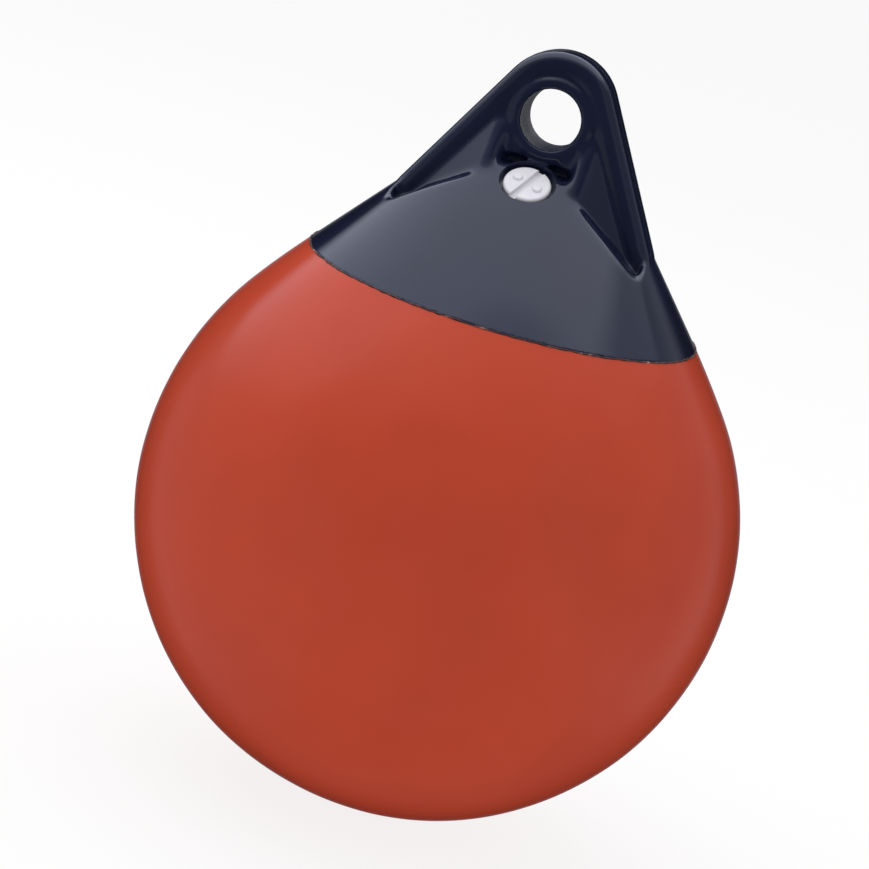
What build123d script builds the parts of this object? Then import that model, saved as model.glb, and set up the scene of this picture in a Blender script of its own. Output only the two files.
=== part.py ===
"""Inflatable marker buoy: a vinyl ball welded to a moulded head with a rope eye and a screw valve.

The pieces are drawn with the centre of the ball at zero and are moved, when they are written, to
the frame of the finished part: origin at the centre of the rope eye, +Z up along the buoy's axis,
the eye's bore along Y and the valve on the -Y side. All sizes are in millimetres and degrees.
"""

from build123d import *
import os
from math import asin, cos, radians, sin, tan

# Ball and shoulder
BALL_DIAMETER = 290.0
SHOULDER_START = 36.0  # latitude where the ball runs out into the shoulder's flatter curve
WELD_DIAMETER = 190.0  # where the shoulder ends and the head begins
WELD_ANGLE = 40.3  # slope of the shoulder at the weld, from the axis
BODY_WALL = 3.5
WELD_LAP = 16.0  # skirt of the head inside the ball's mouth
WELD_GAP = 0.2
SKIRT_WALL = 3.0

# Head: a cone at its sides, flattened at its front and back towards the eye
FRONT_ANGLE = 44.0  # slope of the front at the weld, from the axis
HEAD_HEIGHT = 68.3  # from the weld up to the flat under the eye
HEAD_TOP_DEPTH = 26.0  # of that flat, from front to back
HOLLOW_ROOF = 22.0  # solid under the flat, over the air space

# Rope eye and its fin
EYE_RISE = 19.1  # centre of the eye above the flat
EYE_BORE = 28.4
EYE_LENGTH = 29.0
EYE_BOSS_WALL = 5.5
EYE_LIP = 2.5  # rounding of the bore's mouth and of the boss
LINTEL_WIDTH = 25.0  # of the straight bar that carries the eye over the recess
LINTEL_DEPTH = 26.0
LINTEL_DROP = 20.5  # of its underside below the centre of the eye
LINTEL_EDGE = 2.0
FIN_TOP_RADIUS = 27.8
FIN_TOP_RISE = 4.0  # centre of the fin's rounded top above the eye
FIN_ANGLE = 30.0  # half-angle of the fin's two edges
FIN_ROOT_HEIGHT = 24.3  # above the weld
RIM_THICKNESS = 27.0
RIM_WIDTH = 12.5
RIM_ROUNDING = 6.0
WEB_THICKNESS = 17.0

# Gussets from the eye down to the front, and the flanks that fall from them to the rim
GUSSET_OUTER = 24.0  # half the width over both gussets
GUSSET_WALL = 7.5
GUSSET_RISE = 3.5  # of the gussets' tops over the centre of the eye
GUSSET_TOP_DEPTH = 8.0  # of the ridge in front of the fin's middle, at its top inside the web
GUSSET_LEAN = 27.5  # of the ridge, from the vertical
GUSSET_LENGTH = 38.7  # from its top down to its foot inside the front
FLANK_ANGLE = 39.5  # turn of the flank from the fin's plane
FLANK_REACH = 37.0  # from the gusset outwards, into the rim
FLANK_HEIGHT = 34.7  # from the gusset's top down to the floor
FLANK_FLOOR_ANGLE = 37.0
FLANK_DRAFT = 8.0  # rise of the floor towards the front

# Recess under the eye, between the gussets
THROAT_HEIGHT = 30.7
THROAT_DRAFT = 8.0
THROAT_CORNER = 2.5
THROAT_COVE = 4.0

# Valve
VALVE_DROP = 9.5  # of the valve under the flat, measured on the front
VALVE_BOSS_WALL = 3.1
VALVE_BOSS_SINK = 1.7  # of the boss's face under the front
VALVE_BOSS_DEPTH = 13.0
VALVE_POCKET = 26.8
SEAT_FIT = 0.15  # between the seat and the head
SEAT_FLANGE = 2.0
SEAT_TUBE = 17.2
SEAT_TUBE_LENGTH = 14.0
VALVE_BORE = 12.8
SEAL_THICKNESS = 1.6
SEAL_WIDTH = 3.0
SEAL_GAP = 0.1
PLUG_HEAD = 22.6
PLUG_HEAD_THICKNESS = 4.2
PLUG_STAND = 0.6  # of the plug's face over the boss's face
PLUG_SHANK_CLEARANCE = 0.08
PLUG_SHANK_LENGTH = 12.0
PLUG_EDGE = 0.8
PLUG_CROWN = 1.6  # rounding of the plug's face
SLOT_WIDTH = 3.5
SLOT_DEPTH = 2.2
SLOT_ANGLE = 69.5  # from the horizontal, seen along the valve's axis
PIP_DIAMETER = 4.6
PIP_HEIGHT = 1.2
PIP_SPACING = 11.3
PIP_EDGE = 0.5

# Points and directions of the section, as (radius, height)
ball_radius = BALL_DIAMETER / 2
weld_radius = WELD_DIAMETER / 2
shoulder_slope = radians(SHOULDER_START)
weld_slope = radians(WELD_ANGLE)
front_slope = radians(FRONT_ANGLE)


def direction(angle):
    """Unit direction at an angle above the horizontal, in radians."""
    return Vector(cos(angle), sin(angle))


# The shoulder's curve leaves the ball at its own slope and has the weld's slope at the weld
shoulder_radius = (ball_radius * cos(shoulder_slope) - weld_radius) / (cos(shoulder_slope) - cos(weld_slope))
shoulder_centre = direction(shoulder_slope) * (ball_radius - shoulder_radius)
outward = direction(weld_slope)
upslope = Vector(-sin(weld_slope), cos(weld_slope))
weld_point = shoulder_centre + outward * shoulder_radius
head_wall = BODY_WALL + WELD_GAP + SKIRT_WALL
head_foot = weld_point + upslope * WELD_GAP

# The front is one arc from the weld to the front edge of the flat
head_top = Vector(HEAD_TOP_DEPTH / 2, head_foot.Y + HEAD_HEIGHT)
front_chord = head_top - head_foot
front_radius = -front_chord.dot(front_chord) / (2 * front_chord.dot(direction(front_slope)))
front_centre = head_foot - direction(front_slope) * front_radius

# Heights above the centre of the ball
eye_height = head_top.Y + EYE_RISE
fin_root_height = head_foot.Y + FIN_ROOT_HEIGHT
gusset_height = eye_height + GUSSET_RISE
hollow_height = head_top.Y - HOLLOW_ROOF


def shoulder_point(depth, angle):
    """Point of the shoulder's curve at a depth under its outside, where its slope is this angle."""
    return shoulder_centre + direction(angle) * (shoulder_radius - depth)


def front_point(angle):
    """Point of the head's front where its normal stands at this angle above the horizontal."""
    return front_centre + direction(angle) * front_radius


def front_angle(height):
    """Angle of the front's normal above the horizontal, at a height."""
    return asin((height - front_centre.Y) / front_radius)


def arc(centre, radius, start, end):
    """Arc of the section between two angles about a centre."""
    points = [centre + direction(angle) * radius for angle in (start, (start + end) / 2, end)]
    return ThreePointArc(*points)


def revolved(outline):
    """Solid of revolution about Z of a closed outline in (radius, height)."""
    return revolve(Plane.XZ * make_face(outline), Axis.Z)


def body_shell():
    """Red ball with its shoulder, open where the head is welded in."""
    pole = radians(-90)
    inner_radius = ball_radius - BODY_WALL
    outline = [
        arc(Vector(0, 0), ball_radius, pole, shoulder_slope),
        arc(shoulder_centre, shoulder_radius, shoulder_slope, weld_slope),
        Line(weld_point, weld_point - outward * BODY_WALL),
        arc(shoulder_centre, shoulder_radius - BODY_WALL, weld_slope, shoulder_slope),
        arc(Vector(0, 0), inner_radius, shoulder_slope, pole),
        Line((0, -inner_radius), (0, -ball_radius)),
    ]
    return revolved(outline)


def head_skirt():
    """Foot of the head, with the skirt that laps inside the ball's mouth."""
    depth = BODY_WALL + WELD_GAP
    step = head_foot - outward * depth
    lap_end = weld_slope - WELD_LAP / shoulder_radius
    skirt_start = shoulder_point(depth, weld_slope)
    skirt_inner = shoulder_point(head_wall, lap_end)
    outline = [
        Line((0, skirt_inner.Y), skirt_inner),
        Line(skirt_inner, shoulder_point(depth, lap_end)),
        arc(shoulder_centre, shoulder_radius - depth, lap_end, weld_slope),
        Line(skirt_start, step),
        Line(step, head_foot),
        Line(head_foot, (0, head_foot.Y)),
        Line((0, head_foot.Y), (0, skirt_inner.Y)),
    ]
    return revolved(outline)


def head_blank():
    """Solid of the head over its foot: round at the weld, narrowing faster from front to back."""
    top_slope = front_angle(head_top.Y)
    steps = 4
    sections = []
    for step in range(steps + 1):
        front = front_point(front_slope + (top_slope - front_slope) * step / steps)
        half_width = head_foot.X - (front.Y - head_foot.Y) * tan(weld_slope)
        sections.append(Pos(0, 0, front.Y) * Ellipse(half_width, front.X))
    return loft(sections)


def head_hollow():
    """Air space of the head: parallel to the shoulder and closed by a round top."""
    join = shoulder_point(head_wall, weld_slope)
    apex = join.Y + join.X / tan(weld_slope)
    round_centre = (hollow_height - apex * sin(weld_slope)) / (1 - sin(weld_slope))
    round_radius = hollow_height - round_centre
    centre = Vector(0, round_centre)
    mouth_angle = weld_slope - 2 * WELD_LAP / shoulder_radius
    mouth = shoulder_point(head_wall, mouth_angle)
    outline = [
        Line((0, mouth.Y), mouth),
        arc(shoulder_centre, shoulder_radius - head_wall, mouth_angle, weld_slope),
        Line(join, centre + outward * round_radius),
        arc(centre, round_radius, weld_slope, radians(90)),
        Line((0, hollow_height), (0, mouth.Y)),
    ]
    return revolved(outline)


def fin_plate(thickness, inset):
    """Upright plate round the eye, its outline moved inwards by the inset."""
    edge = radians(FIN_ANGLE)
    top_radius = FIN_TOP_RADIUS - inset
    top_centre = eye_height + FIN_TOP_RISE
    touch_x = top_radius * cos(edge)
    touch_z = top_centre + top_radius * sin(edge)
    root_x = touch_x + (touch_z - fin_root_height) * tan(edge)
    outline = [
        Line((-root_x, fin_root_height), (-touch_x, touch_z)),
        ThreePointArc((-touch_x, touch_z), (0, top_centre + top_radius), (touch_x, touch_z)),
        Line((touch_x, touch_z), (root_x, fin_root_height)),
        Line((root_x, fin_root_height), (-root_x, fin_root_height)),
    ]
    return extrude(Plane.XZ * make_face(outline), thickness / 2, both=True)


def fin_rim():
    """Bead along the fin's edge, rounded along all its corners."""
    band = fin_plate(RIM_THICKNESS, 0) - fin_plate(RIM_THICKNESS, RIM_WIDTH)
    sides = band.faces().filter_by(Axis.Y)
    corners = [edge for side in sides for edge in side.edges().sort_by(Axis.Z)[2:]]
    return fillet(corners, RIM_ROUNDING)


def ridge_depth(height):
    """How far the gussets' ridge stands in front of the fin's middle at a height."""
    return GUSSET_TOP_DEPTH + (gusset_height - height) * tan(radians(GUSSET_LEAN))


def gusset_block():
    """Wedge within the fin from the gussets' ridges, at the front and the back, out to the rim."""
    foot_height = gusset_height - GUSSET_LENGTH
    foot_depth = ridge_depth(foot_height)
    corners = [
        (-GUSSET_TOP_DEPTH, gusset_height),
        (GUSSET_TOP_DEPTH, gusset_height),
        (foot_depth, foot_height),
        (-foot_depth, foot_height),
    ]
    section = make_face(Polyline(*corners, close=True))
    wedge = extrude(Plane.YZ * section, GUSSET_OUTER + FLANK_REACH, both=True)
    return wedge & fin_plate(3 * foot_depth, RIM_ROUNDING)


def flank_cut():
    """What is cut away in front of a flank, from the gusset's ridge outwards and down to the floor."""
    floor = gusset_height - FLANK_HEIGHT
    floor_end = floor - FLANK_REACH * tan(radians(FLANK_FLOOR_ANGLE))
    outline = [(0, gusset_height), (FLANK_REACH, gusset_height), (FLANK_REACH, floor_end), (0, floor)]
    recede = tan(radians(FLANK_ANGLE))
    corners = [(GUSSET_OUTER + x, x * recede - ridge_depth(z), z) for x, z in outline]
    rise = radians(FLANK_DRAFT)
    return extrude(make_face(Polyline(*corners, close=True)), ball_radius, dir=(0, -cos(rise), sin(rise)))


def throat_recess():
    """Recess under the eye, between the two gussets, cut from the web outwards with a coved bottom."""
    half = GUSSET_OUTER - GUSSET_WALL
    top = gusset_height
    floor = top - THROAT_HEIGHT
    corners = [(-half, top), (half, top), (half, floor), (-half, floor)]
    outline = make_face(Polyline(*corners, close=True))
    outline = fillet(outline.vertices(), THROAT_CORNER)
    web_face = Plane.XZ.offset(WEB_THICKNESS / 2)
    tool = extrude(web_face * outline, ball_radius / 2, taper=-THROAT_DRAFT)
    return fillet(tool.edges().group_by(Axis.Y)[-1], THROAT_COVE)


def eye_boss():
    """Thick ring round the rope eye, rounded at both ends."""
    boss = Rotation(90, 0, 0) * Cylinder(EYE_BORE / 2 + EYE_BOSS_WALL, EYE_LENGTH)
    boss = fillet(boss.edges().filter_by(GeomType.CIRCLE), EYE_LIP)
    return Pos(0, 0, eye_height) * boss


def eye_lintel():
    """Straight bar under the eye, between the gussets, with rounded edges."""
    bar = Box(LINTEL_WIDTH, LINTEL_DEPTH, LINTEL_DROP)
    bar = fillet(bar.edges().group_by(Axis.Z)[0] + bar.edges().filter_by(Axis.Z), LINTEL_EDGE)
    return Pos(0, 0, eye_height - LINTEL_DROP / 2) * bar


def eye_bore():
    """Rope's way through the eye, its two mouths rounded."""
    mouth = EYE_BORE / 2 + EYE_LIP
    end = EYE_LENGTH / 2
    outline = [
        Line((0, -end), (mouth, -end)),
        RadiusArc((mouth, -end), (EYE_BORE / 2, -end + EYE_LIP), EYE_LIP),
        Line((EYE_BORE / 2, -end + EYE_LIP), (EYE_BORE / 2, end - EYE_LIP)),
        RadiusArc((EYE_BORE / 2, end - EYE_LIP), (mouth, end), EYE_LIP),
        Line((mouth, end), (0, end)),
        Line((0, end), (0, -end)),
    ]
    return Pos(0, 0, eye_height) * Rotation(90, 0, 0) * revolved(outline)


# Frame of the valve: zero on the boss's face, X to the right, Z out of the head
valve_slope = front_angle(head_top.Y - VALVE_DROP)
valve_point = front_point(valve_slope) - direction(valve_slope) * VALVE_BOSS_SINK
valve_frame = Plane(
    origin=(0, -valve_point.X, valve_point.Y),
    x_dir=(1, 0, 0),
    z_dir=(0, -cos(valve_slope), sin(valve_slope)),
)
plug_seat_depth = PLUG_HEAD_THICKNESS - PLUG_STAND
flange_depth = plug_seat_depth + SEAL_THICKNESS + 2 * SEAL_GAP
pocket_depth = flange_depth + SEAT_FLANGE + SEAT_FIT
shank_radius = VALVE_BORE / 2 - PLUG_SHANK_CLEARANCE


def disc(radius, top, bottom):
    """Round solid on the valve's axis, between two depths under the boss's face."""
    return Pos(0, 0, -(top + bottom) / 2) * Cylinder(radius, bottom - top)


def head():
    """Navy moulding: shoulder, fin with its rim and recesses, rope eye and valve boss."""
    pocket = VALVE_POCKET / 2
    shape = head_skirt() + head_blank() + gusset_block()
    flank = flank_cut()
    for tool in (flank, mirror(flank, Plane.YZ), throat_recess()):
        shape -= tool
        shape -= mirror(tool, Plane.XZ)
    shape += fin_plate(WEB_THICKNESS, RIM_ROUNDING)
    shape += fin_rim()
    shape += eye_boss() + eye_lintel()
    shape += valve_frame * disc(pocket + VALVE_BOSS_WALL, 0, VALVE_BOSS_DEPTH)
    shape -= head_hollow()
    shape -= eye_bore()
    shape -= valve_frame * disc(pocket, -VALVE_POCKET, pocket_depth)
    shape -= valve_frame * disc(SEAT_TUBE / 2 + SEAT_FIT, 0, pocket_depth + VALVE_BOSS_DEPTH)
    return shape


def valve_seat():
    """Flanged insert at the bottom of the valve's pocket, bored for the plug."""
    flange = disc(VALVE_POCKET / 2 - SEAT_FIT, flange_depth, flange_depth + SEAT_FLANGE)
    tube = disc(SEAT_TUBE / 2, flange_depth, flange_depth + SEAT_TUBE_LENGTH)
    bore = disc(VALVE_BORE / 2, flange_depth, flange_depth + SEAT_TUBE_LENGTH)
    return valve_frame * (flange + tube - bore)


def valve_seal():
    """Rubber washer under the plug's head."""
    inner = VALVE_BORE / 2
    top = plug_seat_depth + SEAL_GAP
    ring = disc(inner + SEAL_WIDTH, top, top + SEAL_THICKNESS) - disc(inner, top, top + SEAL_THICKNESS)
    return valve_frame * ring


def valve_plug():
    """Slotted screw plug with two round pips on its face."""
    cap = disc(PLUG_HEAD / 2, -PLUG_STAND, plug_seat_depth)
    cap = fillet(cap.edges().filter_by(GeomType.CIRCLE).sort_by(Axis.Z)[0], PLUG_EDGE)
    cap = fillet(cap.edges().filter_by(GeomType.CIRCLE).sort_by(Axis.Z)[-1], PLUG_CROWN)
    slot = Pos(0, 0, PLUG_STAND) * Box(PLUG_HEAD * 2, SLOT_WIDTH, SLOT_DEPTH * 2)
    cap -= Rotation(0, 0, SLOT_ANGLE) * slot
    pip = Pos(0, 0, PLUG_STAND) * Cylinder(PIP_DIAMETER / 2, PIP_HEIGHT * 2)
    pip = fillet(pip.edges().filter_by(GeomType.CIRCLE).sort_by(Axis.Z)[-1], PIP_EDGE)
    for side in (-1, 1):
        cap += Rotation(0, 0, SLOT_ANGLE) * Pos(0, side * PIP_SPACING / 2, 0) * pip
    shank = disc(shank_radius, plug_seat_depth, plug_seat_depth + PLUG_SHANK_LENGTH)
    shank = chamfer(shank.edges().filter_by(GeomType.CIRCLE).sort_by(Axis.Z)[0], PLUG_EDGE)
    return valve_frame * (cap + shank)


def main():
    os.makedirs("parts", exist_ok=True)
    pieces = {
        "body_shell": body_shell(),
        "head": head(),
        "valve_seat": valve_seat(),
        "valve_seal": valve_seal(),
        "valve_plug": valve_plug(),
    }
    for name, piece in pieces.items():
        export_step(Pos(0, 0, -eye_height) * piece, f"parts/{name}.step")


main()
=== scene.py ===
"""Looks of the inflatable marker buoy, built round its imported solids.

The origin is the centre of the rope eye, +Z runs up the buoy's axis, the eye's bore lies along Y and the
valve is on the -Y side. Lengths are in metres; MM turns a size in millimetres into metres.
"""

import math

import bpy
from mathutils import Matrix, Vector


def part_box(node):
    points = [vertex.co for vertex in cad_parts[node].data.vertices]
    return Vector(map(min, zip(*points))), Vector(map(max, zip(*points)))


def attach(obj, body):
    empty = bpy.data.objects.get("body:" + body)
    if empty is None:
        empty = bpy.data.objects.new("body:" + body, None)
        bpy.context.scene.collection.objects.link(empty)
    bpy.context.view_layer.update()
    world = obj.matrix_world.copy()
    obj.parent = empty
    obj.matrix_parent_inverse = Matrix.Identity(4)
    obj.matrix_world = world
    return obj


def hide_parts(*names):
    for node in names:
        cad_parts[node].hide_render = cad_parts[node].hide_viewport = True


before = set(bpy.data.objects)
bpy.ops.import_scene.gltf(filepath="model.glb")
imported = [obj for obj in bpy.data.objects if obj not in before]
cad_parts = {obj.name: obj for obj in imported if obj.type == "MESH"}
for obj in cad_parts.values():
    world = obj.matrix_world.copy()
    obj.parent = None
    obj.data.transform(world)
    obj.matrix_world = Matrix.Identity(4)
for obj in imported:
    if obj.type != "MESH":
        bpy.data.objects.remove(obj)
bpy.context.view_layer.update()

MM = 0.001

# Ball, shoulder and weld, as the solids have them
shell_low, shell_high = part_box("body_shell")
BALL_RADIUS = (shell_high.x - shell_low.x) / 2
BALL_CENTRE = Vector((0, 0, shell_low.z + BALL_RADIUS))
WELD_HEIGHT = shell_high.z
WELD_RADIUS = 95 * MM
WELD_SLOPE = math.radians(40.3)
SHOULDER_SLOPE = math.radians(36)
SHOULDER_RADIUS = 481.3 * MM
SHELL_WALL = 3.5 * MM

# Head: its plain front, its air space and the rope eye, as the solids have them
FRONT_SLOPE = math.radians(44)
FRONT_RADIUS = 496.5 * MM
HOLLOW_CENTRE = Vector((0, 0, -142.2 * MM))
HOLLOW_RADIUS = 104 * MM
EYE_RADIUS = 14.2 * MM
EYE_HALF_LENGTH = 12 * MM  # of the bore's straight part

# Valve: place of the boss's face and direction out of the head
VALVE_PLACE = Vector((0, -25.762, -29.982)) * MM
VALVE_SLOPE = math.radians(54.3985)
VALVE_AXIS = Vector((0, -math.cos(VALVE_SLOPE), math.sin(VALVE_SLOPE)))
ACROSS = Vector((1, 0, 0))
VALVE_TURN = Matrix((ACROSS, VALVE_AXIS.cross(ACROSS), VALVE_AXIS)).transposed().to_4x4()
VALVE_FRAME = Matrix.Translation(VALVE_PLACE) @ VALVE_TURN
POCKET_RADIUS = 13.4 * MM


def clear_selection():
    """Leave nothing selected, in object mode."""
    if bpy.context.mode != "OBJECT":
        bpy.ops.object.mode_set(mode="OBJECT")
    bpy.ops.object.select_all(action="DESELECT")


def only(piece):
    """Select one object and nothing else, in object mode."""
    clear_selection()
    piece.select_set(True)
    bpy.context.view_layer.objects.active = piece


def fresh(name):
    """Name the primitive just added and put its place into its mesh."""
    piece = bpy.context.object
    piece.name = name
    piece.data.name = name
    bpy.ops.object.transform_apply(location=True, rotation=True, scale=True)
    return piece


def copy_of(mesh, name):
    """New object with its own copy of a mesh."""
    clear_selection()
    piece = bpy.data.objects.new(name, mesh.copy())
    bpy.context.scene.collection.objects.link(piece)
    return piece


def edit(piece, kind, test):
    """Open a piece in edit mode with the vertices or edges selected whose middle passes the test."""
    only(piece)
    mesh = piece.data
    for group in (mesh.vertices, mesh.edges, mesh.polygons):
        group.foreach_set("select", [False] * len(group))
    for item in getattr(mesh, kind):
        if kind == "vertices":
            middle = item.co
        else:
            middle = (mesh.vertices[item.vertices[0]].co + mesh.vertices[item.vertices[1]].co) / 2
        item.select = test(middle)
    bpy.ops.object.mode_set(mode="EDIT")
    bpy.ops.mesh.select_mode(type="VERT" if kind == "vertices" else "EDGE")


def modify(piece, kind, **settings):
    """Add a modifier with its settings and apply it."""
    only(piece)
    bpy.ops.object.modifier_add(type=kind)
    modifier = piece.modifiers[-1]
    for name, value in settings.items():
        setattr(modifier, name, value)
    bpy.ops.object.modifier_apply(modifier=modifier.name)


def weigh(piece, name, weight):
    """Vertex group whose weights are a function of the vertex's place."""
    group = piece.vertex_groups.new(name=name)
    for vertex in piece.data.vertices:
        group.add([vertex.index], weight(vertex.co), "REPLACE")


def ramp(value, start, end):
    """0 before the start, 1 after the end, and smooth between them."""
    share = min(1.0, max(0.0, (value - start) / (end - start)))
    return share * share * (3 - 2 * share)


def close_up(piece):
    """Merge doubles and turn all faces outwards."""
    edit(piece, "vertices", lambda place: True)
    bpy.ops.mesh.remove_doubles(threshold=0.01 * MM)
    bpy.ops.mesh.select_all(action="SELECT")
    bpy.ops.mesh.normals_make_consistent(inside=False)
    only(piece)


def at_height(height):
    """Test for what lies at a height."""
    return lambda place: abs(place.z - height) < 0.01 * MM


def round_edges(piece, size, segments, test):
    """Bevel the edges whose middle passes the test."""
    edit(piece, "edges", test)
    bpy.ops.mesh.bevel(offset=size, segments=segments, profile=0.5, affect="EDGES")
    only(piece)


def join(piece, other):
    """Join another piece to this one, as one solid."""
    modify(piece, "BOOLEAN", operation="UNION", object=other, solver="EXACT")
    bpy.data.objects.remove(other)


def carve(piece, tool, solver="EXACT"):
    """Cut a tool's shape out of a piece."""
    modify(piece, "BOOLEAN", operation="DIFFERENCE", object=tool, solver=solver)
    bpy.data.objects.remove(tool)


def add_cylinder(name, radius, bottom, top, sides):
    """Round bar along Z between two heights."""
    clear_selection()
    bpy.ops.mesh.primitive_cylinder_add(
        vertices=sides, radius=radius, depth=top - bottom, location=(0, 0, (top + bottom) / 2)
    )
    return fresh(name)


def add_block(name, corner):
    """Block whose corners are placed by a function of the sides they are on: -1 or 1 along X, Y and Z."""
    clear_selection()
    bpy.ops.mesh.primitive_cube_add(size=2)
    block = fresh(name)
    for vertex in block.data.vertices:
        vertex.co = corner(*vertex.co)
    close_up(block)
    return block


def clouds(name, grain):
    """Cloud texture with a grain of this size, for uneven surfaces."""
    texture = bpy.data.textures.new(name, "CLOUDS")
    texture.noise_scale = grain
    texture.noise_depth = 2
    return texture


def extrude_to(place, start):
    """Draw the selected vertex on from its start to a new place."""
    bpy.ops.mesh.extrude_region_move(TRANSFORM_OT_translate={"value": place - start})
    return place


def section_point(radius, height):
    """Point of the section to the right of the axis, from its radius and height above the ball's centre."""
    return BALL_CENTRE + Vector((radius, 0, height))


def ball_point(radius, slope):
    """Point of the section on a ball round the same centre."""
    return section_point(radius * math.cos(slope), radius * math.sin(slope))


def shoulder_point(slope, depth):
    """Point on the shoulder's curve, at a depth under its outside."""
    centre = BALL_RADIUS - SHOULDER_RADIUS
    reach = SHOULDER_RADIUS - depth
    return section_point(
        centre * math.cos(SHOULDER_SLOPE) + reach * math.cos(slope),
        centre * math.sin(SHOULDER_SLOPE) + reach * math.sin(slope),
    )


OUTLINE_SIDES = 360
SPIN_STEPS = 216
BLOWN_PATCH = 85 * MM  # of the ball's unevenness
BLOWN_HEIGHT = 0.9 * MM


def make_ball():
    """Blown vinyl ball: half an outline, drawn up the shoulder and back inside, spun about the axis."""
    clear_selection()
    bpy.ops.mesh.primitive_circle_add(
        vertices=OUTLINE_SIDES, radius=BALL_RADIUS, location=BALL_CENTRE, rotation=(math.pi / 2, 0, 0)
    )
    ball = fresh("ball")
    end = ball_point(BALL_RADIUS, SHOULDER_SLOPE)
    top = end.z
    slack = 0.05 * MM
    edit(ball, "vertices", lambda place: place.x < -slack or place.z > top + slack)
    bpy.ops.mesh.delete(type="VERT")
    edit(ball, "vertices", lambda place: abs(place.z - top) < slack)
    rise = WELD_SLOPE - SHOULDER_SLOPE
    outer_steps = 14
    for step in range(1, outer_steps + 1):
        end = extrude_to(shoulder_point(SHOULDER_SLOPE + rise * step / outer_steps, 0), end)
    inner_steps = 4
    for step in range(inner_steps + 1):
        end = extrude_to(shoulder_point(WELD_SLOPE - rise * step / inner_steps, SHELL_WALL), end)
    pole_steps = 30
    for step in range(1, pole_steps + 1):
        slope = SHOULDER_SLOPE - (SHOULDER_SLOPE + math.pi / 2) * step / pole_steps
        end = extrude_to(ball_point(BALL_RADIUS - SHELL_WALL, slope), end)
    bpy.ops.mesh.select_all(action="SELECT")
    bpy.ops.mesh.spin(steps=SPIN_STEPS, angle=math.tau, center=BALL_CENTRE, axis=(0, 0, 1))
    close_up(ball)
    # blown vinyl is never quite even, but at the weld it is held to the head
    weigh(ball, "free", lambda place: ramp(WELD_HEIGHT - place.z, 4 * MM, 40 * MM))
    modify(
        ball, "DISPLACE", texture=clouds("blown_vinyl", BLOWN_PATCH), texture_coords="LOCAL",
        strength=BLOWN_HEIGHT, mid_level=0.7, vertex_group="free",
    )
    bpy.ops.object.shade_smooth_by_angle(angle=math.radians(40))
    return ball


HEAD_VOXEL = 0.95 * MM
MOUTH_DEPTH = 2.6 * MM  # of the part of the valve's pocket that is cut last, with a clean edge

# Recess under the eye: its sill, and the cheeks between the eye's lintel and the gussets
RECESS_BACK = 7 * MM
SILL_TOP = -25.5 * MM
SILL_HEIGHT = 10 * MM
SILL_HALF_WIDTH = 18 * MM
SILL_REACH = 0.96  # share of the way to the front
CHEEK_INNER = 11 * MM
CHEEK_OUTER = 18 * MM
CHEEK_TOP = -9.5 * MM
CHEEK_TOP_DEPTH = 11.5 * MM
CHEEK_FOOT = -20.5 * MM
CHEEK_FOOT_DEPTH = 14.5 * MM

# Corner between the gusset's top, the eye's boss and the rim
CORNER_OUT = 20.7 * MM
CORNER_HEIGHT = 1.5 * MM


def front_half_depth(height):
    """How far the head's plain front lies before the axis, at a height."""
    sine = min(1.0, math.sin(FRONT_SLOPE) + (height - WELD_HEIGHT) / FRONT_RADIUS)
    return WELD_RADIUS + FRONT_RADIUS * (math.sqrt(1 - sine * sine) - math.cos(FRONT_SLOPE))


def front_stretch(place, least):
    """Factor that brings a point to the plain front, or 0 where the front is nearer than the least."""
    half_width = WELD_RADIUS - (place.z - WELD_HEIGHT) * math.tan(WELD_SLOPE)
    half_depth = front_half_depth(place.z)
    if half_width < least or half_depth < least:
        return 0.0
    share = math.hypot(place.x / half_width, place.y / half_depth)
    return 1 / share if share > 0.1 else 0.0


def draw_to_front(head, test, least):
    """Move the vertices that pass a test of place and factor to the plain front, away from the axis."""
    for vertex in head.data.vertices:
        stretch = front_stretch(vertex.co, least)
        if test(vertex.co, stretch):
            vertex.co.x *= stretch
            vertex.co.y *= stretch


def near_front(place, stretch):
    """Whether a point of the head lies on its plain front, but for the grid's steps."""
    return place.z > WELD_HEIGHT + 0.3 * MM and abs(stretch - 1) < 0.012


def valve_reach(place):
    """Distance of a point from the valve's axis."""
    away = place - VALVE_PLACE
    return (away - VALVE_AXIS * away.dot(VALVE_AXIS)).length


def over_mouth(place, stretch):
    """Whether a point is on the filled mouth of the valve's pocket."""
    rise = (place - VALVE_PLACE).dot(VALVE_AXIS)
    return stretch > 0 and valve_reach(place) < POCKET_RADIUS + 1.3 * MM and -1.2 * MM < rise < 4 * MM


def bore_reach(place):
    """Distance of a point from the axis of the rope eye."""
    return math.hypot(place.x, place.z)


def in_hollow(place):
    """Whether a point is on the wall of the head's air space."""
    return (place - HOLLOW_CENTRE).length < HOLLOW_RADIUS


def over_weld(place):
    """How much a point is clear of the weld, which keeps its edge."""
    return ramp(place.z, WELD_HEIGHT, WELD_HEIGHT + 2 * MM)


def softness(place):
    """How much of the moulding's rounding a point takes: little at the weld, the bore and the valve."""
    soft = ramp(place.z, WELD_HEIGHT + 0.5 * MM, WELD_HEIGHT + 4 * MM)
    soft *= ramp(valve_reach(place), POCKET_RADIUS - 0.5 * MM, POCKET_RADIUS + 3 * MM)
    return soft * ramp(bore_reach(place), EYE_RADIUS + 0.4 * MM, EYE_RADIUS + 3 * MM)


def run_of_ridge(place):
    """How much a point is on the ridges that stand out in front and behind, which are the roundest."""
    return softness(place) * ramp(abs(place.y), 13.5 * MM, 19 * MM)


def run_of_corner(place):
    """How much a point is in the corner between the gusset's top, the eye's boss and the rim."""
    away = math.hypot(abs(place.x) - CORNER_OUT, place.z - CORNER_HEIGHT)
    return (1 - ramp(away, 4 * MM, 8 * MM)) * ramp(abs(place.y), 7 * MM, 9 * MM)


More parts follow.
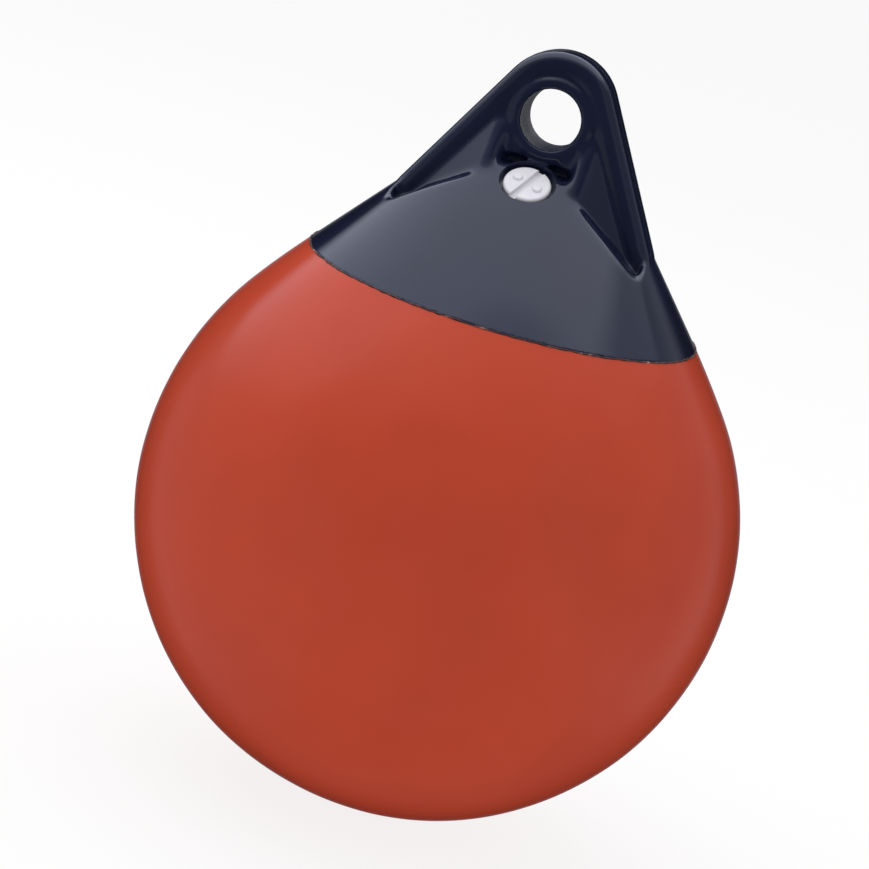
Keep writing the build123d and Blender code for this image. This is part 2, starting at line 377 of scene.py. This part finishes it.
def run_of_throat(place):
    """How much a point is beside the lintel, where the gusset runs into it without a sharp corner."""
    beside = ramp(abs(place.x), 9 * MM, 12.5 * MM) * (1 - ramp(abs(place.x), 18.5 * MM, 21 * MM))
    level = ramp(place.z, -27 * MM, -23 * MM) * (1 - ramp(place.z, -9 * MM, -5 * MM))
    return beside * level * ramp(-place.y, 9 * MM, 10.5 * MM) * softness(place)


def soften(head, name, weight, iterations):
    """Round the head off as far as the weight of each place says."""
    weigh(head, name, weight)
    modify(head, "SMOOTH", factor=0.5, iterations=iterations, vertex_group=name)


def add_mouth(radius, bottom, top, sides):
    """Round bar on the valve's axis, between two heights over the boss's face."""
    mouth = add_cylinder("mouth", radius, bottom, top, sides)
    mouth.data.transform(VALVE_FRAME)
    return mouth


def add_sill():
    """Sill of the recess under the eye, level with the front, between the gussets."""

    def corner(x, y, z):
        height = SILL_TOP if z > 0 else SILL_TOP - SILL_HEIGHT
        depth = SILL_REACH * front_half_depth(height) if y < 0 else RECESS_BACK
        return (x * SILL_HALF_WIDTH, -depth, height)

    return add_block("sill", corner)


def add_cheek(side):
    """Filling between the eye's lintel and a gusset, which leans out with the gusset's ridge."""

    def corner(x, y, z):
        front = CHEEK_TOP_DEPTH if z > 0 else CHEEK_FOOT_DEPTH
        reach = CHEEK_OUTER if x * side > 0 else CHEEK_INNER
        return (side * reach, -front if y < 0 else -RECESS_BACK, CHEEK_TOP if z > 0 else CHEEK_FOOT)

    return add_block("cheek", corner)


def make_head():
    """Moulded head: the solid's form with the soft, run-together edges of poured vinyl."""
    head = copy_of(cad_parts["head"].data, "head_moulding")
    edit(head, "vertices", lambda place: True)
    bpy.ops.mesh.remove_doubles(threshold=0.002 * MM)
    # the pocket's mouth is filled for now, so that the front runs smoothly over it
    mouth = add_mouth(POCKET_RADIUS + 0.6 * MM, -MOUTH_DEPTH, 2.2 * MM, 96)
    fillings = (mouth, add_sill(), add_cheek(-1), add_cheek(1))
    only(head)
    for filling in fillings:
        filling.select_set(True)
    bpy.ops.object.join()
    modify(head, "REMESH", mode="VOXEL", voxel_size=HEAD_VOXEL, adaptivity=0)
    # the plain front is drawn out again to its true curve, so that it reflects without facets
    draw_to_front(head, near_front, least=15 * MM)
    draw_to_front(head, over_mouth, least=6 * MM)
    soften(head, "soft", softness, iterations=16)
    soften(head, "ridges", run_of_ridge, iterations=48)
    soften(head, "corners", run_of_corner, iterations=48)
    soften(head, "throat", run_of_throat, iterations=48)
    soften(head, "all_but_weld", over_weld, iterations=3)
    # what is hidden, in the air space and under the weld, keeps few faces
    weigh(head, "hidden", lambda place: float(in_hollow(place) or place.z < WELD_HEIGHT - 0.6 * MM))
    modify(head, "DECIMATE", ratio=0.51, vertex_group="hidden")
    carve(head, add_mouth(POCKET_RADIUS, -MOUTH_DEPTH - 0.2 * MM, 12 * MM, 192), "MANIFOLD")
    only(head)
    bpy.ops.object.shade_smooth_by_angle(angle=math.radians(55))
    return head


PARTING_RADIUS = 0.22 * MM
PARTING_SINK = 0.17 * MM


def make_parting_line(head):
    """Fine raised line over the fin's edge, where the two halves of the mould met."""
    line = copy_of(head.data, "parting_line")
    edit(line, "vertices", lambda place: True)
    bpy.ops.mesh.bisect(plane_co=(0, 0, 0), plane_no=(0, 1, 0), clear_inner=True, clear_outer=True)
    foot = WELD_HEIGHT + 3 * MM
    edit(
        line, "vertices",
        lambda place: bore_reach(place) < EYE_RADIUS + 4 * MM or in_hollow(place) or place.z < foot,
    )
    bpy.ops.mesh.delete(type="VERT")
    only(line)
    bpy.ops.object.convert(target="CURVE")
    line = bpy.context.object
    line.data.bevel_depth = PARTING_RADIUS
    line.data.bevel_resolution = 2
    line.data.use_fill_caps = True
    bpy.ops.object.convert(target="MESH")
    line = bpy.context.object
    line.data.materials.clear()
    line.data.transform(Matrix.Translation((0, 0, -PARTING_SINK)))
    bpy.ops.object.shade_smooth()
    return line


FLASH_RADIUS = 0.45 * MM
FLASH_SHIFT = 0.1 * MM  # of its middle from the weld's edge, inwards and up


def make_weld_flash():
    """Line of vinyl pressed out of the weld, thin and uneven."""
    clear_selection()
    bpy.ops.mesh.primitive_torus_add(
        major_radius=WELD_RADIUS - FLASH_SHIFT, minor_radius=FLASH_RADIUS, major_segments=720,
        minor_segments=8, location=(0, 0, WELD_HEIGHT + FLASH_SHIFT),
    )
    flash = fresh("weld_flash")
    modify(
        flash, "DISPLACE", texture=clouds("weld_wander", 14 * MM), texture_coords="LOCAL",
        direction="Z", strength=0.9 * MM, mid_level=0.5,
    )
    modify(
        flash, "DISPLACE", texture=clouds("weld_crumbs", 2.2 * MM), texture_coords="LOCAL",
        strength=0.8 * MM, mid_level=0.5,
    )
    bpy.ops.object.shade_smooth()
    return flash


PLUG_RADIUS = 11.3 * MM
PLUG_TOP = 0.6 * MM  # of the face over the boss
PLUG_THICKNESS = 4.2 * MM
PLUG_EDGE = 0.5 * MM
PLUG_CROWN = 1.6 * MM
SLOT_WIDTH = 3.5 * MM
SLOT_DEPTH = 2.2 * MM
SLOT_EDGE = 0.22 * MM
SLOT_TURN = math.radians(69.5)
PIP_RADIUS = 2.3 * MM
PIP_HEIGHT = 1.2 * MM
PIP_ROUNDING = 0.9 * MM
PIP_PLACE = 5.65 * MM
SHANK_LENGTH = 12 * MM
SHANK_EDGE = 0.8 * MM
THREAD_PITCH = 3 * MM
THREAD_RADIUS = 6.28 * MM
THREAD_ROOT = 5.45 * MM
THREAD_CREST_HALF = 0.35 * MM
THREAD_FOOT_HALF = 1.15 * MM
THREAD_RUNOUT = 1.2 * MM  # left plain at both ends of the shank

# How far the pips, the shank and the thread run into what they stand on
PIP_SINK = 0.6 * MM
SHANK_SINK = 0.5 * MM
THREAD_SINK = 0.4 * MM


def make_thread(top, bottom):
    """Screw thread round the shank: one tooth's section, turned along the helix and capped at both ends."""
    clear_selection()
    bpy.ops.mesh.primitive_plane_add(size=1 * MM, rotation=(math.pi / 2, 0, 0))
    thread = fresh("thread")
    for vertex in thread.data.vertices:
        outer = vertex.co.x > 0
        radius = THREAD_RADIUS if outer else THREAD_ROOT - THREAD_SINK
        half_height = THREAD_CREST_HALF if outer else THREAD_FOOT_HALF
        height = bottom + THREAD_RUNOUT + math.copysign(half_height, vertex.co.z)
        vertex.co = (radius, 0, height)
    turns = int((top - bottom - 2 * THREAD_RUNOUT) / THREAD_PITCH)
    modify(
        thread, "SCREW", axis="Z", angle=math.tau, screw_offset=THREAD_PITCH, iterations=turns,
        steps=64, render_steps=64, use_merge_vertices=False,
    )
    edit(thread, "vertices", lambda place: False)
    bpy.ops.mesh.select_non_manifold(extend=False)
    bpy.ops.mesh.edge_face_add()
    close_up(thread)
    return thread


def make_plug():
    """Slotted nylon screw plug with two round pips and a threaded shank, made upright, then set in place."""
    bottom = PLUG_TOP - PLUG_THICKNESS
    plug = add_cylinder("plug", PLUG_RADIUS, bottom, PLUG_TOP, 128)
    round_edges(plug, PLUG_CROWN, 8, at_height(PLUG_TOP))
    round_edges(plug, PLUG_EDGE, 3, at_height(bottom))
    clear_selection()
    bpy.ops.mesh.primitive_cube_add(size=1, location=(0, 0, PLUG_TOP), rotation=(0, 0, SLOT_TURN))
    bpy.context.object.scale = (4 * PLUG_RADIUS, SLOT_WIDTH, 2 * SLOT_DEPTH)
    carve(plug, fresh("slot"))
    modify(
        plug, "BEVEL", width=SLOT_EDGE, segments=3, limit_method="ANGLE", angle_limit=math.radians(50),
        harden_normals=False,
    )
    crest = PLUG_TOP + PIP_HEIGHT
    for side in (-1, 1):
        pip = add_cylinder("pip", PIP_RADIUS, PLUG_TOP - PIP_SINK, crest, 48)
        round_edges(pip, PIP_ROUNDING, 6, at_height(crest))
        offset = Matrix.Rotation(SLOT_TURN, 4, "Z") @ Vector((0, side * PIP_PLACE, 0))
        pip.data.transform(Matrix.Translation(offset))
        join(plug, pip)
    shank_end = bottom - SHANK_LENGTH
    shank = add_cylinder("shank", THREAD_ROOT, shank_end, bottom + SHANK_SINK, 64)
    round_edges(shank, SHANK_EDGE, 3, at_height(shank_end))
    join(plug, shank)
    join(plug, make_thread(bottom, shank_end))
    plug.data.transform(VALVE_FRAME)
    only(plug)
    bpy.ops.object.shade_smooth_by_angle(angle=math.radians(35))
    return plug


def linear(code):
    """sRGB hex colour as linear RGBA."""
    parts = [int(code[i:i + 2], 16) / 255 for i in (1, 3, 5)]
    return [p / 12.92 if p <= 0.04045 else ((p + 0.055) / 1.055) ** 2.4 for p in parts] + [1.0]


def add_node(tree, kind, values=None, **settings):
    """Add a node with its settings; the values are numbers for its sockets, or outputs to link to them."""
    node = tree.nodes.new(kind)
    for name, value in settings.items():
        setattr(node, name, value)
    for socket, value in (values or {}).items():
        if isinstance(value, bpy.types.NodeSocket):
            tree.links.new(value, node.inputs[socket])
        else:
            node.inputs[socket].default_value = value
    return node


def set_marks(node, *marks):
    """Give a colour ramp its marks, each a position and a linear colour."""
    elements = node.color_ramp.elements
    elements.remove(elements[1])
    for number, (position, colour) in enumerate(marks):
        mark = elements.new(position) if number else elements[0]
        mark.position = position
        mark.color = colour


def new_finish(name):
    """Plain material with its node tree, its shader and the place on the piece that its patterns read."""
    finish = bpy.data.materials.new(name)
    finish.use_nodes = True
    tree = finish.node_tree
    place = add_node(tree, "ShaderNodeTexCoord").outputs["Object"]
    return finish, tree, tree.nodes["Principled BSDF"], place


def moulded_vinyl(name, pale, deep, gloss, specular, peel):
    """Glossy PVC vinyl from a polished mould: slow patches of tone, fine orange peel in the gloss."""
    finish, tree, shader, place = new_finish(name)
    patch_size = 70 * MM
    patches = add_node(
        tree, "ShaderNodeTexNoise",
        {"Vector": place, "Scale": 1 / patch_size, "Detail": 3.0, "Roughness": 0.45},
    )
    tones = add_node(tree, "ShaderNodeValToRGB", {"Fac": patches.outputs["Fac"]})
    set_marks(tones, (0.36, linear(deep)), (0.64, linear(pale)))
    tree.links.new(tones.outputs["Color"], shader.inputs["Base Color"])
    film_size = 24 * MM
    film = add_node(
        tree, "ShaderNodeTexNoise",
        {"Vector": place, "Scale": 1 / film_size, "Detail": 4.0, "Roughness": 0.6},
    )
    dull = add_node(
        tree, "ShaderNodeMapRange",
        {
            "Value": film.outputs["Fac"], "From Min": 0.3, "From Max": 0.7,
            "To Min": gloss - 0.03, "To Max": gloss + 0.04,
        },
    )
    tree.links.new(dull.outputs["Result"], shader.inputs["Roughness"])
    peel_size = 3.2 * MM
    skin = add_node(
        tree, "ShaderNodeTexNoise",
        {"Vector": place, "Scale": 1 / peel_size, "Detail": 2.0, "Roughness": 0.5},
    )
    bump = add_node(
        tree, "ShaderNodeBump", {"Height": skin.outputs["Fac"], "Strength": 1.0, "Distance": peel}
    )
    tree.links.new(bump.outputs["Normal"], shader.inputs["Normal"])
    shader.inputs["IOR"].default_value = 1.53
    shader.inputs["Specular IOR Level"].default_value = specular
    return finish


def painted_light_bore_vinyl():
    """The head's vinyl on the wall of the rope eye's bore, with a fine sandy grain: dull grey on its -X side
    as painted light, where light falls on that wall, running to navy over the rest as painted shade.
    """
    finish, tree, shader, place = new_finish("bore_pvc_vinyl_painted_light")
    # real grit is about 0.2 mm; it is drawn at 0.9 mm to show at all
    grit_size = 0.9 * MM
    grit = add_node(
        tree, "ShaderNodeTexNoise",
        {"Vector": place, "Scale": 1 / grit_size, "Detail": 3.0, "Roughness": 0.7},
    )
    tones = add_node(tree, "ShaderNodeValToRGB", {"Fac": grit.outputs["Fac"]})
    set_marks(tones, (0.35, linear("#4c4d53")), (0.68, linear("#8c8d93")))
    # painted light and shade: the bore's wall is grey on its -X side, where light falls on it, and navy from
    # its middle on, where it lies in shade
    apart = add_node(tree, "ShaderNodeSeparateXYZ", {0: place})
    painted_shade_share = add_node(
        tree, "ShaderNodeMapRange",
        {"Value": apart.outputs["X"], "From Min": -0.6 * EYE_RADIUS, "From Max": 0.05 * EYE_RADIUS},
    )
    painted_light_mix = add_node(
        tree, "ShaderNodeMix",
        {0: painted_shade_share.outputs["Result"], 6: tones.outputs["Color"], 7: linear("#1a1d33")}, data_type="RGBA",
    )
    tree.links.new(painted_light_mix.outputs[2], shader.inputs["Base Color"])
    bump = add_node(
        tree, "ShaderNodeBump", {"Height": grit.outputs["Fac"], "Strength": 0.6, "Distance": 0.12 * MM}
    )
    tree.links.new(bump.outputs["Normal"], shader.inputs["Normal"])
    shader.inputs["Roughness"].default_value = 0.75
    return finish


def dark_weld_line_vinyl():
    """Vinyl of the line pressed out at the weld: dark brown, with pale flecks."""
    finish, tree, shader, place = new_finish("dark_weld_line_pvc_vinyl")
    crumb_size = 6 * MM
    crumbs = add_node(
        tree, "ShaderNodeTexNoise",
        {"Vector": place, "Scale": 1 / crumb_size, "Detail": 4.0, "Roughness": 0.7},
    )
    tones = add_node(tree, "ShaderNodeValToRGB", {"Fac": crumbs.outputs["Fac"]})
    set_marks(tones, (0.5, linear("#33201f")), (0.6, linear("#6b3a30")), (0.69, linear("#c9a795")))
    tree.links.new(tones.outputs["Color"], shader.inputs["Base Color"])
    shader.inputs["Roughness"].default_value = 0.5
    return finish


def satin_moulding(name, pale, deep, roughness):
    """Moulded nylon or rubber: satin to dull, with a faint cloudiness from the melt's flow."""
    finish, tree, shader, place = new_finish(name)
    flow_size = 5 * MM
    flow = add_node(
        tree, "ShaderNodeTexNoise",
        {"Vector": place, "Scale": 1 / flow_size, "Detail": 3.0, "Roughness": 0.5},
    )
    tones = add_node(tree, "ShaderNodeValToRGB", {"Fac": flow.outputs["Fac"]})
    set_marks(tones, (0.3, linear(deep)), (0.7, linear(pale)))
    tree.links.new(tones.outputs["Color"], shader.inputs["Base Color"])
    grain_size = 0.7 * MM
    grain = add_node(
        tree, "ShaderNodeTexNoise",
        {"Vector": place, "Scale": 1 / grain_size, "Detail": 2.0, "Roughness": 0.5},
    )
    bump = add_node(
        tree, "ShaderNodeBump", {"Height": grain.outputs["Fac"], "Strength": 0.5, "Distance": 0.02 * MM}
    )
    tree.links.new(bump.outputs["Normal"], shader.inputs["Normal"])
    shader.inputs["Roughness"].default_value = roughness
    return finish


def paint(piece, *finishes):
    """Give a piece its finishes in place of those it has."""
    piece.data.materials.clear()
    for finish in finishes:
        piece.data.materials.append(finish)


# the blown ball shines less than the poured head
red_vinyl = moulded_vinyl("red_pvc_vinyl", "#bf4831", "#b9452f", 0.15, 0.18, 0.012 * MM)
navy_vinyl = moulded_vinyl("navy_pvc_vinyl", "#191d35", "#15182c", 0.12, 0.5, 0.01 * MM)
bore_vinyl = painted_light_bore_vinyl()
flash_vinyl = dark_weld_line_vinyl()
white_nylon = satin_moulding("white_nylon", "#e9e8ee", "#dfdee5", 0.35)
black_nylon = satin_moulding("black_nylon", "#1c1c1f", "#141416", 0.4)
black_rubber = satin_moulding("black_rubber", "#161616", "#0f0f10", 0.7)

ball = make_ball()
paint(ball, red_vinyl)
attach(ball, "buoy")
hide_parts("body_shell")

head = make_head()
paint(head, navy_vinyl, bore_vinyl)
for face in head.data.polygons:
    inside_eye = bore_reach(face.center) < EYE_RADIUS + 0.35 * MM
    between_lips = abs(face.center.y) < EYE_HALF_LENGTH + 0.6 * MM
    face.material_index = int(inside_eye and between_lips)
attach(head, "buoy")
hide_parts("head")

parting_line = make_parting_line(head)
paint(parting_line, navy_vinyl)
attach(parting_line, "buoy")

flash = make_weld_flash()
paint(flash, flash_vinyl)
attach(flash, "buoy")

plug = make_plug()
paint(plug, white_nylon)
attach(plug, "plug")
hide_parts("valve_plug")

paint(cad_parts["valve_seat"], black_nylon)
paint(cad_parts["valve_seal"], black_rubber)

# Camera at the photo's angle: above and a little to the right, and tilted so that the buoy leans
CAMERA_DISTANCE = 1.8
CAMERA_AZIMUTH = math.radians(8.5)
CAMERA_ELEVATION = math.radians(14.2)
CAMERA_ROLL = math.radians(16.5)
CAMERA_FOCAL_PIXELS = 3751
PICTURE_PIXELS = 869
BALL_PIXELS_RIGHT = 2.6  # of the ball's centre from the picture's middle
BALL_PIXELS_DOWN = 82.8
SENSOR = 36

toward = Vector((
    math.sin(CAMERA_AZIMUTH) * math.cos(CAMERA_ELEVATION),
    -math.cos(CAMERA_AZIMUTH) * math.cos(CAMERA_ELEVATION),
    math.sin(CAMERA_ELEVATION),
))
level_right = Vector((0, 0, 1)).cross(toward).normalized()
level_up = toward.cross(level_right)
picture_right = level_right * math.cos(CAMERA_ROLL) + level_up * math.sin(CAMERA_ROLL)
picture_up = level_up * math.cos(CAMERA_ROLL) - level_right * math.sin(CAMERA_ROLL)
pixel = CAMERA_DISTANCE / CAMERA_FOCAL_PIXELS
aim = BALL_CENTRE + picture_up * (BALL_PIXELS_DOWN * pixel) - picture_right * (BALL_PIXELS_RIGHT * pixel)
stand = BALL_CENTRE + toward * CAMERA_DISTANCE
back = (stand - aim).normalized()
right = picture_up.cross(back).normalized()
camera_turn = Matrix((right, back.cross(right), back)).transposed().to_4x4()

camera_data = bpy.data.cameras.new("camera")
camera_data.sensor_width = SENSOR
camera_data.lens = CAMERA_FOCAL_PIXELS / PICTURE_PIXELS * SENSOR
camera = bpy.data.objects.new("camera", camera_data)
camera.matrix_world = Matrix.Translation(stand) @ camera_turn
bpy.context.scene.collection.objects.link(camera)
bpy.context.scene.camera = camera

# Plain levels of light: 1 shows a colour about as it is written
FLOOR_GLOW = 0.6  # share of the floor's white that is its own light
FLOOR_GLOW_SEEN = 0.85  # the same where the floor itself is seen
FILL_LIGHT = 0.68
LAMP_LIGHT = 1.05
LAMP_WIDTH = 2.3
LAMP_HEIGHT = 1.4
PANEL_LIGHT = 1.68
PANEL_HORIZON = 0.05  # least rise of a direction that still meets the panel overhead


def seen_directly(tree):
    """1 for what the camera sees, straight or in gloss or glass, and 0 for light on the object."""
    path = add_node(tree, "ShaderNodeLightPath")
    sharp = add_node(
        tree, "ShaderNodeMath",
        {0: path.outputs["Is Camera Ray"], 1: path.outputs["Is Glossy Ray"]}, operation="MAXIMUM",
    )
    return add_node(
        tree, "ShaderNodeMath",
        {0: sharp.outputs[0], 1: path.outputs["Is Transmission Ray"]}, operation="MAXIMUM",
    ).outputs[0]


def empty_finish(name):
    """Material with an empty node tree."""
    finish = bpy.data.materials.new(name)
    finish.use_nodes = True
    finish.node_tree.nodes.clear()
    return finish, finish.node_tree


def make_floor():
    """Plain white floor, lit from below like a light table, that keeps the object's soft shadow."""
    clear_selection()
    bpy.ops.mesh.primitive_plane_add(size=24, location=(0, 0, shell_low.z - 0.4 * MM))
    floor = fresh("floor")
    finish, tree = empty_finish("white_floor")
    paper = add_node(tree, "ShaderNodeBsdfDiffuse", {"Color": linear("#f4f4f4")})
    glow = add_node(tree, "ShaderNodeEmission", {"Color": linear("#ffffff"), "Strength": 1.0})
    share = add_node(
        tree, "ShaderNodeMapRange",
        {"Value": seen_directly(tree), "To Min": FLOOR_GLOW, "To Max": FLOOR_GLOW_SEEN},
    )
    mix = add_node(
        tree, "ShaderNodeMixShader", {0: share.outputs[0], 1: paper.outputs[0], 2: glow.outputs[0]}
    )
    add_node(tree, "ShaderNodeOutputMaterial", {"Surface": mix.outputs[0]})
    paint(floor, finish)
    floor.visible_glossy = False


def make_world():
    """White studio: even fill on the object, plain white where it is seen."""
    world = bpy.data.worlds.new("studio")
    bpy.context.scene.world = world
    world.use_nodes = True
    tree = world.node_tree
    background = tree.nodes["Background"]
    background.inputs["Color"].default_value = linear("#ffffff")
    strength = add_node(
        tree, "ShaderNodeMapRange", {"Value": seen_directly(tree), "To Min": FILL_LIGHT, "To Max": 1.0}
    )
    tree.links.new(strength.outputs["Result"], background.inputs["Strength"])


def make_softbox():
    """Large soft lamp over the object. The studio stands level in the picture, not on the leaning buoy."""
    data = bpy.data.lights.new("overhead", "AREA")
    data.shape = "SQUARE"
    data.size = LAMP_WIDTH
    data.energy = 4 * LAMP_WIDTH * LAMP_WIDTH * LAMP_LIGHT
    lamp = bpy.data.objects.new("overhead", data)
    lamp.location = picture_up * LAMP_HEIGHT
    lamp.rotation_euler = picture_up.to_track_quat("Z", "Y").to_euler()
    lamp.visible_glossy = False
    bpy.context.scene.collection.objects.link(lamp)


def light_band(tree, value, low, high, stops):
    """Level of light along a value, from pairs of value and level."""
    share = add_node(tree, "ShaderNodeMapRange", {"Value": value, "From Min": low, "From Max": high})
    band = add_node(tree, "ShaderNodeValToRGB", {"Fac": share.outputs["Result"]})
    set_marks(band, *(((place - low) / (high - low), (level, level, level, 1)) for place, level in stops))
    return band.outputs["Color"]


def make_tent():
    """Tent that shows only in the object's gloss: a bright panel overhead, dim in front, dark behind."""
    clear_selection()
    bpy.ops.mesh.primitive_uv_sphere_add(segments=48, ring_count=24, radius=4)
    tent = fresh("tent")
    finish, tree = empty_finish("grey_cloth")
    place = add_node(tree, "ShaderNodeTexCoord").outputs["Object"]
    way = add_node(tree, "ShaderNodeVectorMath", {0: place}, operation="NORMALIZE").outputs[0]
    across, over, front = (
        add_node(tree, "ShaderNodeVectorMath", {0: way, 1: axis}, operation="DOT_PRODUCT").outputs["Value"]
        for axis in (picture_right, picture_up, toward)
    )
    # places on a level panel, in heights above the object: to the right, and toward the camera
    height = add_node(tree, "ShaderNodeMath", {0: over, 1: PANEL_HORIZON}, operation="MAXIMUM").outputs[0]
    to_right = add_node(tree, "ShaderNodeMath", {0: across, 1: height}, operation="DIVIDE").outputs[0]
    to_front = add_node(tree, "ShaderNodeMath", {0: front, 1: height}, operation="DIVIDE").outputs[0]
    sides = light_band(
        tree, to_right, -3, 3,
        (
            (-2.2, 0.1), (-1.6, 0.35), (-1.1, 0.7), (-0.5, 0.95), (0.8, 1.0), (1.3, 0.9), (1.65, 0.4),
            (2.4, 0.3), (3.0, 0.0),
        ),
    )
    depth = light_band(
        tree, to_front, -3, 3,
        ((-1.3, 0.0), (-0.95, 1.0), (0.45, 1.0), (0.65, 0.5), (1.05, 0.22), (2.0, 0.0)),
    )
    panel = add_node(tree, "ShaderNodeMath", {0: sides, 1: depth}, operation="MULTIPLY")
    overhead = add_node(tree, "ShaderNodeMath", {0: over, 1: PANEL_HORIZON}, operation="GREATER_THAN")
    strength = add_node(
        tree, "ShaderNodeMath", {0: overhead.outputs[0], 1: PANEL_LIGHT}, operation="MULTIPLY"
    )
    light = add_node(
        tree, "ShaderNodeMath", {0: panel.outputs[0], 1: strength.outputs[0]}, operation="MULTIPLY"
    )
    walls = light_band(
        tree, across, -1, 1, ((-0.75, 0.28), (-0.5, 0.06), (0.45, 0.06), (0.7, 0.36), (0.9, 0.24))
    )
    behind = light_band(tree, front, -1, 1, ((-0.98, 4.0), (-0.93, 0.1), (-0.76, 0.1), (-0.62, 1.0)))
    cloth = add_node(tree, "ShaderNodeMath", {0: walls, 1: behind}, operation="MULTIPLY")
    level = add_node(
        tree, "ShaderNodeMath", {0: light.outputs[0], 1: cloth.outputs[0]}, operation="MAXIMUM"
    )
    glow = add_node(tree, "ShaderNodeEmission", {"Color": linear("#e9eeff"), "Strength": level.outputs[0]})
    add_node(tree, "ShaderNodeOutputMaterial", {"Surface": glow.outputs[0]})
    paint(tent, finish)
    tent.visible_camera = False
    tent.visible_diffuse = False
    tent.visible_transmission = False
    tent.visible_shadow = False


make_floor()
make_world()
make_softbox()
make_tent()

scene = bpy.context.scene
scene.view_settings.view_transform = "Standard"
